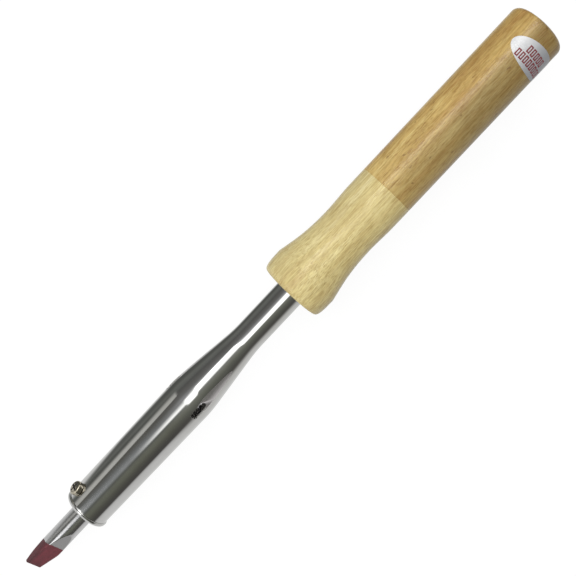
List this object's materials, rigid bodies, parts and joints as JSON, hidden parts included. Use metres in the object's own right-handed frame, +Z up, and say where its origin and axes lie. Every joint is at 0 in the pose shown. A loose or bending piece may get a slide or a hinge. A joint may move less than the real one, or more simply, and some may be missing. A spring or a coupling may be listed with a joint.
{
  "type": "soldering iron",
  "caption": "Wood-handled electric soldering iron with a plated barrel, an inner heating element and a removable chisel tip clamped by a set screw.",
  "frame": {"origin": "centre of the handle's front face, on the iron's axis, where the neck enters the handle", "axes": "+X along the iron's axis from the tip to the cord end, +Z up as the iron lies on a bench, +Y to its left seen from the cord end"},
  "size_m": [0.3008, 0.0296, 0.0296],
  "materials": {
    "light_wood": "clear lacquer over pale straight-grained wood",
    "tan_wood": "clear lacquer over tan straight-grained wood",
    "label_foil": null,
    "black_rubber": "matte",
    "bright_chrome": "bright chrome plate",
    "tip_plate": "bright plate with a satin ground face and a red dip on its end",
    "nickel_screw": "nickel plate, slightly worn",
    "plain_steel": "plain steel",
    "heat_alloy": "oxidised resistance alloy",
    "mica": "pressed mica sheet",
    "porcelain": "unglazed white ceramic",
    "brass": "turned brass"
  },
  "bodies": {
    "iron": {"handle_front": "light_wood", "handle_grip": "tan_wood", "handle_screw": "plain_steel", "rating_label": "label_foil", "cord_bush": "black_rubber", "barrel_shell": "bright_chrome", "front_bushing": "bright_chrome", "core_tube": "plain_steel", "core_plug": "plain_steel", "inner_mica": "mica", "heating_ribbon": "heat_alloy", "outer_mica": "mica", "binding_bands": "plain_steel", "rear_spacer": "porcelain", "crimp_ferrules": "brass", "live_lead": "heat_alloy", "neutral_lead": "heat_alloy", "lead_beads": "porcelain", "ground_clip": "brass", "ground_lead": "brass", "terminal_block": "porcelain", "terminal_inserts": "brass", "terminal_screws": "brass"},
    "tip_plug": {"tip": "tip_plate"},
    "screw_carrier": {"screw_washer": "plain_steel"},
    "set_screw": {"tip_screw": "nickel_screw"}
  },
  "joints": [
    {"name": "tip_slide", "type": "slide", "parent": "iron", "child": "tip_plug", "axis": [-1, 0, 0], "range_m": [0, 0.056]},
    {"name": "screw_travel", "type": "slide", "parent": "iron", "child": "screw_carrier", "axis": [0, 0.829, 0.5592], "range_m": [0, 0.0056]},
    {"name": "screw_turn", "type": "hinge", "parent": "screw_carrier", "child": "set_screw", "pos_m": [-0.1188, 0, 0], "axis": [0, 0.829, 0.5592], "range_deg": [0, 2880]}
  ],
  "couplings": [
    {"joint": "screw_turn", "follows": "screw_travel", "rad_per_m": 8976}
  ]
}
